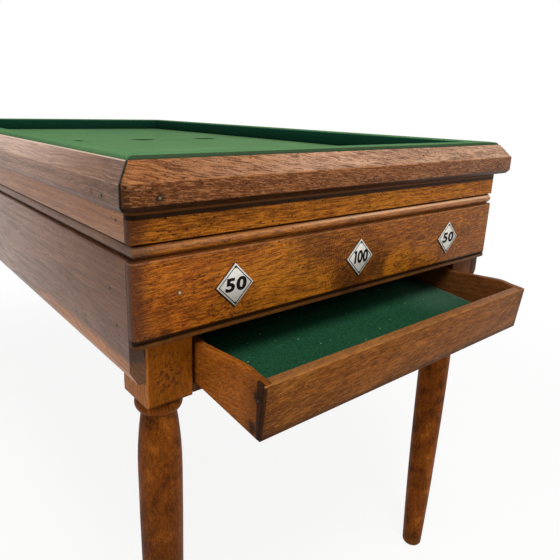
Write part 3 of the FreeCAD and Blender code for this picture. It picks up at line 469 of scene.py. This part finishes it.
# Boards that show: grain direction, rounding of the worn arrises and the look of each.
boards = {
    "rail_front": {
        "along": "x", "soften": 0.001, **redOak, "pale": (174, 120, 78), "shift": 3.1,
        "heart": (0.86, -0.60), "lean": (0.012, 0.02), "ring": 0.005, "mitre": [frontLeft],
        "grimeAndShade": [("x", -0.395, 0.02, 0.5)], "worn": [("z", 0.8882, 0.0012)],
        "tints": [railFace,
                  # painted highlight on the bevel, stronger to the right
                  ([("z", 0.888, 0.8895), ("x", -0.4, -0.02)], 0.62, (214, 178, 152)),
                  ([("z", 0.8895, 0.887), ("x", -0.1, -0.36)], 0.5, (66, 28, 8)),
                  ([("z", 0.8895, 0.887), ("x", 0.1, 0.3)], 0.35, (80, 44, 20))],
        "zones": [railFoot],
        "spots": [((-0.347, -0.672, 0.8715), 0.009, 0.85), ((0.0, -0.672, 0.8715), 0.006, 0.8),
                  ((0.347, -0.672, 0.8715), 0.006, 0.7)]},
    "rail_right": {
        "along": "y", "soften": 0.001, **redOak, "shift": 7.7, "heart": (0.84, 0.31), "lean": (0.01, 0.02),
        "tints": [railFace], "zones": [railFoot]},
    "rail_back": {
        "along": "x", "soften": 0.001, **redOak, "shift": 11.3, "heart": (0.84, 0.60), "lean": (-0.01, 0.02),
        "tints": [railFace], "zones": [railFoot]},
    "rail_left": {
        "along": "y", "soften": 0.001, **greyOak, "pale": (174, 138, 112), "shift": 5.9,
        "heart": (0.84, -0.30), "lean": (0.008, 0.01), "mitre": [frontLeft], "worn": [("z", 0.8882, 0.001)],
        # painted glare on the bevel and face, paler away from the front corner
        "tints": [([("z", 0.888, 0.8895), ("y", -0.6, -0.3)], 0.75, (220, 182, 160)),
                  ([("z", 0.8895, 0.888), ("y", -0.6, -0.35)], 0.5, (186, 144, 122)),
                  ([("y", -0.58, -0.66)], 0.6, (74, 52, 42))],
        # painted shade on the lower chamfer; then a pale line worn along the top arris
        "zones": [([("z", 0.8632, 0.862)], 0.4, (52, 34, 24)),
                  ([("z", 0.9084, 0.9094)], 0.6, (218, 194, 170))],
        "spots": [((-0.392, -0.6, 0.872), 0.006, 0.7), ((-0.384, -0.645, 0.902), 0.004, 0.8)]},
    "fascia_front": {
        "along": "x", "soften": 0.001, "ends": 0.0095, **honeyOak, "shift": 2.3, "heart": (0.79, -0.62),
        "lean": (0.03, 0.03), "ring": 0.007, "shine": 0.04,
        "zones": [shadedEnd, turnedEnd, farEnd, underRail,
                  ([("z", 0.851, 0.8524), ("z", 0.8554, 0.8542)], 0.45, (116, 70, 32))],  # a lighter line painted into the painted shadow under the rail
        "gold": [((0.08, -0.655, 0.835), 0.12, 0.45)]},
    "fascia_right": {
        "along": "y", "soften": 0.001, **brownOak, "shift": 4.9, "heart": (0.80, 0.32), "zones": [underRail]},
    "fascia_back": {
        "along": "x", "soften": 0.001, **brownOak, "shift": 8.3, "heart": (0.80, 0.60), "zones": [underRail]},
    "fascia_left": {
        "along": "y", "soften": 0.001, **greyOak, "base": (174, 114, 72), "dark": (112, 70, 44),
        "shift": 9.1, "heart": (0.80, -0.30),
        "gold": [((-0.375, -0.45, 0.835), 0.12, 0.4), ((-0.375, -0.57, 0.835), 0.06, 0.4)],
        # painted shade in the quirk above the bead and under the rail; the first line is the dark joint with
        # the front board
        "grimeAndShade": [("y", -0.6425, 0.0016, 0.6), ("z", 0.819, 0.002, 0.8), ("z", 0.858, 0.006, 0.8)]},
    "bead_front": {
        "along": "x", "soften": 0.0008, **honeyOak, "shift": 6.3, "heart": (0.80, -0.60), "shine": 0.35,
        "rough": 0.36,
        # painted highlight on the bead's upper half; painted shade on its lower half, at its left end and in
        # the quirks below and above it
        "zones": [([("z", 0.8095, 0.813), ("z", 0.816, 0.8148)], 0.25, (206, 146, 96)),
                  ([("z", 0.811, 0.8135), ("z", 0.816, 0.8148), ("x", -0.2, 0.05)], 0.65, (240, 196, 156)),
                  ([("z", 0.8075, 0.803)], 0.35, (80, 44, 20)),
                  ([("x", -0.335, -0.362)], 0.75, (64, 40, 30)),
                  ([("z", 0.8024, 0.8015)], 0.55, (40, 22, 12)),
                  ([("z", 0.8152, 0.8164)], 0.95, (14, 8, 5))]},
    "bead_right": {"along": "y", "soften": 0.0008, **brownOak, "shift": 1.7, "heart": (0.80, 0.32)},
    "bead_back": {"along": "x", "soften": 0.0008, **brownOak, "shift": 12.4, "heart": (0.80, 0.60)},
    "bead_left": {
        "along": "y", "soften": 0.0008, **greyOak, "base": (134, 90, 62), "shift": 3.9, "heart": (0.80, -0.30),
        # painted shade on the bead's lower half and in the quirks above and below it; then darker towards the
        # front end
        "zones": [([("z", 0.81, 0.805)], 0.25, (80, 50, 32)),
                  ([("z", 0.8165, 0.8174)], 0.8, (30, 19, 13)),
                  ([("z", 0.804, 0.8028)], 0.75, (34, 21, 14)),
                  ([("y", -0.6, -0.64)], 0.35, (62, 44, 36))]},
    "apron_front": {
        "along": "x", "soften": 0.001, "ends": 0.0075, **honeyOak, "base": (146, 80, 22),
        "pale": (204, 126, 32), "shift": 0.6, "heart": (0.735, -0.60), "lean": (0.05, -0.06), "ring": 0.0055,
        "wander": 0.06, "slope": -0.08, "swirl": 0.9, "knots": [((-0.016, -0.655, 0.75), 0.078, 0.085)],
        "diamonds": plateShadow,
        "tints": [([("x", -0.16, -0.33)], 0.4, (150, 70, 20)),
                  ([("z", 0.788, 0.797)], 0.4, (106, 62, 30)),
                  ([("x", 0.03, 0.07), ("z", 0.742, 0.762)], 0.4, (92, 54, 26)),
                  ([("x", 0.2, 0.33)], 0.3, (92, 52, 24))],
        "zones": [shadedEnd, turnedEnd, farEnd,
                  ([("z", 0.7962, 0.7972), ("z", 0.799, 0.7982)], 0.2, (190, 136, 96)),
                  # painted shade in the ledge under the bead, along the lower arris, in the groove, on the lip
                  # and under it
                  ([("z", 0.7984, 0.7992)], 0.6, (52, 28, 14)),
                  ([("z", 0.7079, 0.7071)], 0.5, (74, 42, 18)),
                  ([("z", 0.7072, 0.7056), ("z", 0.6996, 0.7006)], 0.94, (24, 12, 6)),  # painted shade in the groove
                  ([("z", 0.7012, 0.7004)], 0.6, (70, 44, 18)),
                  ([("z", 0.6966, 0.6956)], 0.7, (34, 19, 9))],
        "gold": [((-0.085, -0.655, 0.722), 0.055, 0.65), ((-0.15, -0.655, 0.75), 0.08, 0.5),
                 ((0.105, -0.655, 0.722), 0.05, 0.55), ((0.185, -0.655, 0.728), 0.05, 0.4),
                 ((-0.22, -0.655, 0.715), 0.09, 0.4)],
        "spots": [((-0.315, -0.655, 0.755), 0.006, 0.7), ((-0.335, -0.655, 0.708), 0.014, 0.6),
                  ((0.01, -0.655, 0.75), 0.075, 0.32), ((0.046, -0.655, 0.726), 0.035, 0.5),
                  ((-0.036, -0.655, 0.722), 0.03, 0.45), ((-0.01, -0.655, 0.705), 0.035, 0.45),
                  ((-0.095, -0.655, 0.782), 0.065, 0.35), ((-0.143, -0.655, 0.79), 0.007, 0.5)]},
    "apron_right": {
        "along": "y", "soften": 0.0012, **brownOak, "shift": 13.2, "heart": (0.74, 0.30), "wander": 0.05,
        # painted shade on the board's front end, in the gap beside the post
        "zones": [([("y", -0.6398, -0.6416)], 0.85, (34, 20, 12))]},
    "apron_back": {
        "along": "x", "soften": 0.0012, **brownOak, "shift": 14.8, "heart": (0.73, 0.60), "wander": 0.05},
    "apron_left": {
        "along": "y", "soften": 0.0012, **greyOak, "pale": (154, 108, 78), "shift": 15.5,
        "heart": (0.73, -0.28), "wander": 0.06,
        # painted glare towards the back of the side, painted shade near the front; then an orange worn band on
        # the lower chamfer
        "tints": [([("y", -0.56, -0.05)], 0.55, (190, 156, 136)),
                  ([("y", -0.4, -0.62)], 0.62, (96, 54, 32)),
                  ([("z", 0.682, 0.668), ("y", -0.22, -0.42)], 0.9, (204, 124, 56))],
        # painted shade on the board's front end, in the gap beside the post
        "zones": [([("y", -0.6398, -0.6416)], 0.75, (40, 27, 18))]},
    "drawer_front": {
        "along": "x", "soften": 0.0014, **brownOak, "base": (124, 72, 26), "shine": 0.03, "shift": 16.4,
        "heart": (0.64, -0.70), "lean": (0.02, 0.02), "ring": 0.006, "slope": -0.1,
        "tints": [([("x", -0.255, -0.284)], 0.5, (58, 34, 20)), ([("x", 0.262, 0.285)], 0.55, (52, 30, 18))],
        "zones": [([("z", 0.62, 0.6095)], 0.7, (48, 28, 17)),
                  ([("x", -0.2815, -0.283), ("z", 0.6785, 0.677)], 0.8, (34, 21, 14)),
                  ([("z", 0.6784, 0.6798)], 0.22, (172, 126, 86))],
        "worn": [("z", 0.6796, 0.0012)]},
    "drawer_side_left": {
        "along": "y", "soften": 0.0014, "base": (156, 86, 25), "dark": (100, 52, 14), "pale": (186, 112, 44),
        "shine": 0.06, "shift": 17.9, "heart": (0.63, -0.24), "lean": (-0.1, 0.02), "slope": 0.3,
        "pores": 0.4, "fibres": (35.0, 520.0),
        "zones": [([("y", -0.735, -0.762)], 0.5, (70, 38, 18)),
                  ([("y", -0.766, -0.7685), ("x", -0.2815, -0.284)], 0.85, (24, 15, 10)),
                  ([("y", -0.6455, -0.6395), ("y", -0.622, -0.634)], 0.7, (24, 14, 8))],  # painted shadow in the gap between the post and the drawer side
        "spots": [((-0.286, -0.768, 0.662), 0.012, 0.85), ((-0.286, -0.76, 0.62), 0.012, 0.85)]},
    "drawer_side_right": {
        "along": "y", "soften": 0.0014, "base": (118, 70, 34), "dark": (80, 44, 20), "pale": (140, 88, 46),
        "shine": 0.06, "shift": 18.2, "heart": (0.63, 0.24), "lean": (-0.1, 0.02), "slope": 0.1,
        "pores": 0.3, "fibre": 0.5, "streak": 0.3},
    "drawer_back": {"along": "x", "soften": 0.0014, **brownOak, "shift": 19.0, "heart": (0.66, -0.4)},
}
legLook = {
    "along": "z", "soften": 0.0016, "base": (116, 60, 15), "dark": (66, 32, 8), "pale": (150, 84, 28),
    "shine": 0.03, "patchy": 1.0, "patch": (28.0, 34.0), "wander": 0.03, "ring": 0.006, "rings": 0.15,
    "lean": (0.03, 0.02), "pores": 0.45, "tick": (130.0, 170.0), "dots": 0.3,
    "streak": 0.25, "streaks": (60.0, 110.0), "fibre": 0.35, "fibres": (120.0, 420.0),
    "tints": [([("z", 0.604, 0.612), ("x", 0.0, -0.1)], 0.6, (146, 82, 14)),
              ([("z", 0.606, 0.612), ("x", -0.351, -0.3535)], 0.7, (184, 116, 62)),
              ([("z", 0.5, 0.36), ("x", 0.0, -0.1)], 0.7, (70, 34, 8))],
    "zones": [([("z", 0.06, 0.0)], 0.5, (66, 46, 24)),
              # painted shade on the square tops of the right-hand legs
              ([("z", 0.6, 0.61), ("x", 0.27, 0.285)], 0.7, (62, 32, 10))],
    "grimeAndShade": [("z", 0.586, 0.003, 0.8), ("z", 0.607, 0.003, 0.6)],
    "burl": [((-0.328, -0.642, 0.644), 0.03, 0.75)],
}
legHeart = {"off": (0.012, 0.05), "firstShift": 21.0}
for count, corner in enumerate(("front_left", "front_right", "back_left", "back_right")):
    low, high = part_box(f"leg_{corner}")
    middle = (low + high) / 2
    boards[f"leg_{corner}"] = {**legLook, "shift": legHeart["firstShift"] + count,
                               "heart": (middle.x + legHeart["off"][0], middle.y + legHeart["off"][1])}

for node, board in boards.items():
    piece = softened(node, f"{node}_oak", board["soften"], ends=board.get("ends"))
    changes = {key: value for key, value in board.items() if key in woodLook}
    piece.data.materials.append(wood(f"oak_{node}", board["along"], changes))
    settle(piece, "drawer" if node.startswith("drawer") else "cabinet", node)
print("oak boards and legs:", len(boards))


def dress(names, material):
    # gives solids that stay as they are their material
    for node in names:
        nodes[node].data.materials.clear()
        nodes[node].data.materials.append(material)


# Boards inside the cabinet keep their plain solids, with sawn pine and plywood.
pineLook = {"base": (196, 152, 98), "dark": (158, 110, 62), "pore": (120, 80, 46), "pale": (214, 176, 124),
            "rough": 0.7, "shine": 0.1, "ring": 0.009, "pores": 0.25, "patchy": 0.35, "wander": 0.03,
            "heart": (0.7, 0.1), "shift": 30.0}
agedPine = {**pineLook, "base": (70, 44, 24), "dark": (46, 28, 15), "pale": (96, 64, 38), "shift": 31.0}
plyLook = {**pineLook, "base": (188, 150, 104), "dark": (160, 120, 78), "ring": 0.02, "heart": (0.5, 0.2),
           "shift": 33.0, "grimeAndShadeTone": (30, 62, 38),  # painted shade, tinted green, about the holes
           "spots": [((across, 0.055, 0.87), 0.16, 1.0) for across in (-0.18, 0.0, 0.18)]}
inside = {
    "x": ["corner_block_front_left", "corner_block_front_right", "corner_block_back_left",
          "corner_block_back_right", "bed_bearer_front", "bed_bearer_back", "cross_board_front",
          "cross_board_back", "ramp_back_board"],
    "y": ["bed_ledger_left", "bed_ledger_right", "ramp_guide_left", "ramp_guide_right",
          "drawer_stop_left", "drawer_stop_right"],
}
for along, names in inside.items():
    dress(names, wood(f"pine_{along}", along, pineLook))
dress(["drawer_runner_left", "drawer_runner_right"], wood("aged_pine_y", "y", agedPine))
dress(["bed_board", "ball_ramp", "drawer_bottom"], wood("plywood_sheets", "y", plyLook))

# Nails: dull in the rails, brighter in the aprons, black on the plates and the drawer.
sideNail = ([("x", -0.372, -0.376)], 0.9, (26, 20, 17))
railNail = {"base": (92, 72, 56), "dark": (54, 42, 33), "rusty": 0.6, "rough": 0.5, "metallic": 0.2,
            "zones": [sideNail]}
apronNail = {**railNail, "base": (178, 160, 134), "dark": (120, 102, 82), "rusty": 0.3,
             "zones": [sideNail, ([("x", 0.0, 0.1)], 0.85, (70, 48, 32))]}
blackNail = {"base": (34, 28, 25), "dark": (18, 14, 12), "rusty": 0.3, "rough": 0.6, "metallic": 0.3}
dress(["rail_nails"], metal("nail_steel", railNail))
dress(["apron_nails"], metal("nail_bright", apronNail))
dress(["plate_nails", "drawer_nails"], metal("nail_black", blackNail))
print("inside boards and nails dressed")

# Cushions: rubber strips under stretched cloth, rounded at the nose. Each has painted shade on its face
# towards the bed, and on its outer edge, tucked in by the rail, most on the front.
cushionShape = {"soften": 0.0028, "segments": 4, "angle": 20.0}
cushionLook = {"base": (90, 128, 88), "light": (104, 148, 100), "dark": (56, 98, 62), "flecks": 0.1}
# painted shade on the face towards the bed and on the outer edge under the rail
cushionTones = {"face": (20, 58, 44), "below": ("z", 0.9142, 0.9122), "edge": (44, 55, 40)}
cushions = {
    "front": {"face": ("y", -0.64, -0.632), "edge": ("y", -0.6465, -0.6505), "edgeShade": 0.85},
    "right": {"face": ("x", 0.36, 0.352), "edge": ("x", 0.3665, 0.3705), "edgeShade": 0.5},
    "back": {"face": ("y", 0.64, 0.632), "edge": ("y", 0.6465, 0.6505), "edgeShade": 0.5},
    "left": {"face": ("x", -0.36, -0.352), "edge": ("x", -0.3665, -0.3705), "edgeShade": 0.25},
}
for side, cushion in cushions.items():
    piece = softened(f"cushion_{side}", f"cushion_{side}_cloth", cushionShape["soften"],
                     cushionShape["segments"], cushionShape["angle"])
    zones = [([cushion["face"], cushionTones["below"]], 1.0, cushionTones["face"]),
             ([cushion["edge"]], cushion["edgeShade"], cushionTones["edge"])]
    piece.data.materials.append(wool(f"cushion_{side}_wool", {**cushionLook, "zones": zones}))
    settle(piece, "cabinet", f"cushion_{side}")

# Bed cloth: one sheet stretched over the bed, cut out at the three holes.
bedSheet = {"soften": 0.0012, "segments": 3, "holes": 3, "holeWidth": 0.059}
bedLook = {"base": (96, 136, 92), "light": (116, 156, 108), "dark": (66, 106, 70), "flecks": 0.15}
piece = softened("bed_cloth", "bed_cloth_sheet", bedSheet["soften"], bedSheet["segments"])
piece.data.materials.append(wool("bed_wool", bedLook))
settle(piece, "cabinet", "bed_cloth")

# Drawer baize: a loose sheet laid on the drawer's sloping bottom, dusty on the right, with painted shade at
# the back inside the cabinet.
baizeSheet = {"soften": 0.0006, "segments": 2, "slope": math.radians(6)}
baizeLook = {"base": (26, 68, 46), "light": (46, 94, 66), "dark": (12, 42, 28), "felt": 0.7, "flecks": 0.7,
             "zones": [([("x", 0.12, 0.24), ("y", -0.73, -0.66)], 0.22, (104, 132, 118)),
                       ([("x", 0.268, 0.2725)], 0.4, (120, 120, 100)),
                       # painted shade at the back, inside the cabinet
                       ([("y", -0.64, -0.55)], 0.8, (2, 6, 5))]}
piece = softened("drawer_baize", "drawer_baize_sheet", baizeSheet["soften"], baizeSheet["segments"])
piece.data.materials.append(wool("drawer_wool", baizeLook))
settle(piece, "drawer", "drawer_baize")
print("cloths and cushions laid")

# Number plates: bare metal diamonds with a thin printed line and a number.
plateShape = {"edge": 0.0003, "segments": 2, "line": 0.0012, "lineInset": 0.0026, "print": 0.00012}
digitShape = {
    "50": {"height": 0.0236, "wide": 1.3, "gap": 1.12, "kern": 0.0, "bold": 0.001, "slant": 0.06},
    "100": {"height": 0.0258, "wide": 0.88, "gap": 1.06, "kern": -7.0, "bold": 0.0011, "slant": 0.08},
}
flagShape = {"size": (0.0046, 0.0026), "off": (-0.0005, -0.002), "turn": 0.75, "under": 0.9}
plateMetal = metal("plate_metal", {"base": (196, 194, 187), "dark": (150, 147, 140), "metallic": 0.35,
                                   "rough": 0.45})
blackPrint = paint("plate_print", {"base": (14, 11, 10), "worn": (70, 66, 60), "wear": 0.3, "shine": 0.05,
                                   "rub": (420.0, 3.0, 0.7), "depth": 0.00005})


def drawnLine(name, radius):
    # a thin diamond outline, lying flat
    deselect()
    bpy.ops.mesh.primitive_circle_add(vertices=4, radius=radius, fill_type="NGON")
    line = bpy.context.object
    line.name = name
    bpy.ops.object.mode_set(mode="EDIT")
    bpy.ops.mesh.select_all(action="SELECT")
    bpy.ops.mesh.inset(thickness=plateShape["line"], depth=0)
    bpy.ops.mesh.delete(type="FACE")
    bpy.ops.mesh.select_all(action="SELECT")
    bpy.ops.mesh.extrude_region_move(TRANSFORM_OT_translate={"value": (0, 0, plateShape["print"])})
    bpy.ops.mesh.select_all(action="SELECT")
    bpy.ops.mesh.normals_make_consistent(inside=False)
    bpy.ops.object.mode_set(mode="OBJECT")
    return line


def addFlag(digits):
    # the stroke at the head of the 1
    head = max(vertex.co.y for vertex in digits.data.vertices)
    left = min(vertex.co.x for vertex in digits.data.vertices if vertex.co.y > head * flagShape["under"])
    bpy.ops.object.mode_set(mode="EDIT")
    bpy.ops.mesh.primitive_cube_add(
        size=1.0, location=(left + flagShape["off"][0], head + flagShape["off"][1], 0.0),
        rotation=(0.0, 0.0, flagShape["turn"]), scale=(*flagShape["size"], plateShape["print"] * 2))
    bpy.ops.object.mode_set(mode="OBJECT")


def drawnNumber(name, number):
    # bold digits, lying flat
    shape = digitShape[number]
    deselect()
    bpy.ops.object.text_add()
    digits = bpy.context.object
    digits.name = name
    text = digits.data
    text.body = number
    text.size = shape["height"]
    text.space_character = shape["gap"]
    text.body_format[0].kerning = shape["kern"]
    text.align_x = "CENTER"
    text.align_y = "CENTER"
    text.offset = shape["bold"]
    text.shear = shape["slant"]
    text.extrude = plateShape["print"]
    pick(digits)
    bpy.ops.object.convert(target="MESH")
    if number.startswith("1"):
        addFlag(digits)
    digits.scale.x = shape["wide"]
    return digits


def printOn(piece, across, face, height):
    # stands a flat drawing upright on the front of the table
    piece.data.materials.append(blackPrint)
    pick(piece)
    piece.rotation_euler = (math.radians(90), 0.0, 0.0)
    piece.location = (across, face, height)
    bpy.ops.object.transform_apply(location=True, rotation=True, scale=True)
    settle(piece, "cabinet")


for where, number in plates.items():
    node = f"plate_{where}"
    low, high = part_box(node)
    middle = (low + high) / 2
    piece = softened(node, f"{node}_face", plateShape["edge"], plateShape["segments"])
    piece.data.materials.append(plateMetal)
    settle(piece, "cabinet", node)
    line = drawnLine(f"{node}_line", (high.z - low.z) / 2 - plateShape["lineInset"])
    printOn(line, middle.x, low.y, middle.z)
    printOn(drawnNumber(f"{node}_number", number), middle.x, low.y, middle.z)
print("number plates printed")

# Floor, backdrop and light.
room = {"floor": (250, 250, 250), "floorSize": 40.0, "shadowShare": 0.86, "fade": (0.9, 2.2), "dim": 0.3,
        "white": (1.0, 1.0, 1.0, 1.0), "aim": (0.0, -0.3, 0.7)}
lamps = {
    "key": {"at": (-0.8, -1.9, 3.4), "size": 1.3, "power": 75.0, "colour": (1.0, 0.98, 0.95)},
    "side": {"at": (-3.0, -0.4, 1.7), "size": 2.2, "power": 22.0, "colour": (0.96, 0.98, 1.0)},
    "fill": {"at": (1.6, -3.2, 1.2), "size": 2.4, "power": 38.0, "colour": (1.0, 0.97, 0.93)},
    "behind": {"at": (1.6, 3.0, 2.4), "size": 2.4, "power": 25.0, "colour": (1.0, 1.0, 1.0)},
}
deselect()
bpy.ops.mesh.primitive_plane_add(size=room["floorSize"], location=(0, 0, 0))
floor = bpy.context.object
floor.name = "studio_floor"
s = Shader("studio_floor")
flat = s.add("ShaderNodeBsdfDiffuse", None, {"Color": tone(*room["floor"])})
glow = s.add("ShaderNodeEmission", None, {"Color": room["white"], "Strength": 1.0})
far = s.add("ShaderNodeVectorMath", {"operation": "LENGTH"}, {0: s.here()}, "Value").step(*room["fade"])
share = far * (1 - room["shadowShare"]) + room["shadowShare"]  # the rest shows the shadow
shown = s.add("ShaderNodeMixShader", None, {0: s.seen() * share, 1: flat, 2: glow})
s.add("ShaderNodeOutputMaterial", None, {"Surface": shown})
floor.data.materials.append(s.owner)

s = Shader("studio", bpy.data.worlds)
soft = s.add("ShaderNodeBackground", None, {"Color": room["white"], "Strength": room["dim"]})
blank = s.add("ShaderNodeBackground", None, {"Color": room["white"], "Strength": 1.0})
shown = s.add("ShaderNodeMixShader", None, {0: s.seen(), 1: soft, 2: blank})
s.add("ShaderNodeOutputWorld", None, {"Surface": shown})
scene.world = s.owner

for name, lamp in lamps.items():
    light = bpy.data.lights.new(name, "AREA")
    light.shape = "SQUARE"
    light.size = lamp["size"]
    light.energy = lamp["power"]
    light.color = lamp["colour"]
    holder = bpy.data.objects.new(name, light)
    holder.location = lamp["at"]
    aim = Vector(room["aim"]) - Vector(lamp["at"])
    holder.rotation_euler = aim.to_track_quat("-Z", "Y").to_euler()
    scene.collection.objects.link(holder)
print("floor and lamps set")

# Camera at the photograph's place; angles in radians, pixels of a 560 by 560 picture.
view = {"place": (-0.6106, -1.165, 0.9643), "yaw": 0.67247, "pitch": 0.27818, "roll": 0.02546,
        "focal": 529.51, "centre": (254.56, 259.47), "picture": 560.0, "sensor": 36.0, "nearest": 0.02}
yaw, pitch, roll = view["yaw"], view["pitch"], view["roll"]
ahead = Vector((math.sin(yaw) * math.cos(pitch), math.cos(yaw) * math.cos(pitch), -math.sin(pitch)))
level = Vector((math.cos(yaw), -math.sin(yaw), 0.0))
above = level.cross(ahead)
right = level * math.cos(roll) + above * math.sin(roll)
up = above * math.cos(roll) - level * math.sin(roll)
lens = bpy.data.cameras.new("camera")
lens.sensor_width = view["sensor"]
lens.lens = view["focal"] / view["picture"] * view["sensor"]
lens.shift_x = 0.5 - view["centre"][0] / view["picture"]
lens.shift_y = view["centre"][1] / view["picture"] - 0.5
lens.clip_start = view["nearest"]
camera = bpy.data.objects.new("camera", lens)
turn = Matrix((right, up, -ahead)).transposed().to_4x4()
camera.matrix_world = Matrix.Translation(view["place"]) @ turn
scene.collection.objects.link(camera)
scene.camera = camera
scene.view_settings.view_transform = "Standard"
print("camera placed")
